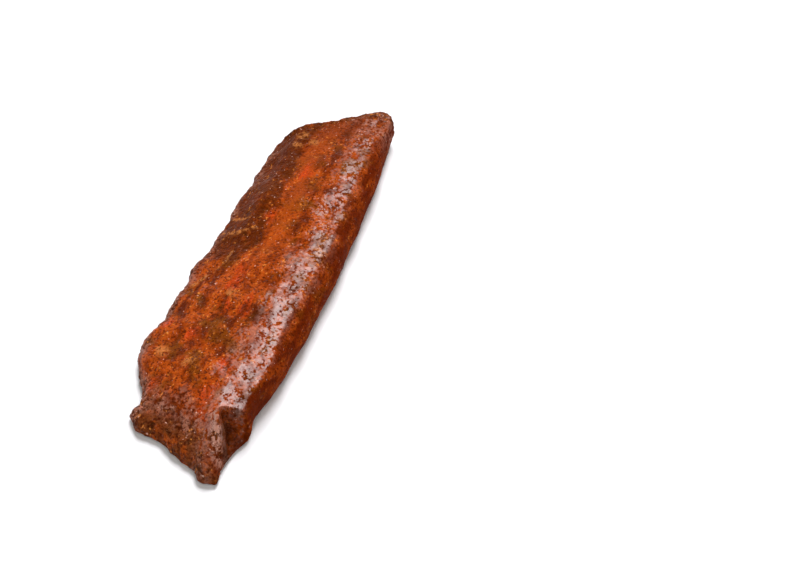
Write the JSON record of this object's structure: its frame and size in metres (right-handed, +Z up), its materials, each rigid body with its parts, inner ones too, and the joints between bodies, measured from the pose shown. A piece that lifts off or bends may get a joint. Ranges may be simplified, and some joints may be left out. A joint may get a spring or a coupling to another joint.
{
  "type": "slab of cooked spare ribs",
  "caption": "Long slab of cooked, glazed spare ribs: a thick rounded side, a thin scalloped side, a pointed flap at one end, and rib ridges underneath.",
  "frame": {"origin": "middle of the underside, on the surface the slab lies on", "axes": "+Y along the slab's length, from the pointed flap to the far end; +X across it, from the thin side to the thick side; +Z up, out of the meat side"},
  "size_m": [0.0962, 0.3114, 0.0307],
  "materials": {
    "glazed_meat": "browned, sticky glazed meat, deep red-brown with darker bark at its edges, soft gloss"
  },
  "bodies": {
    "root": {"rib_slab": "glazed_meat"}
  },
  "joints": []
}
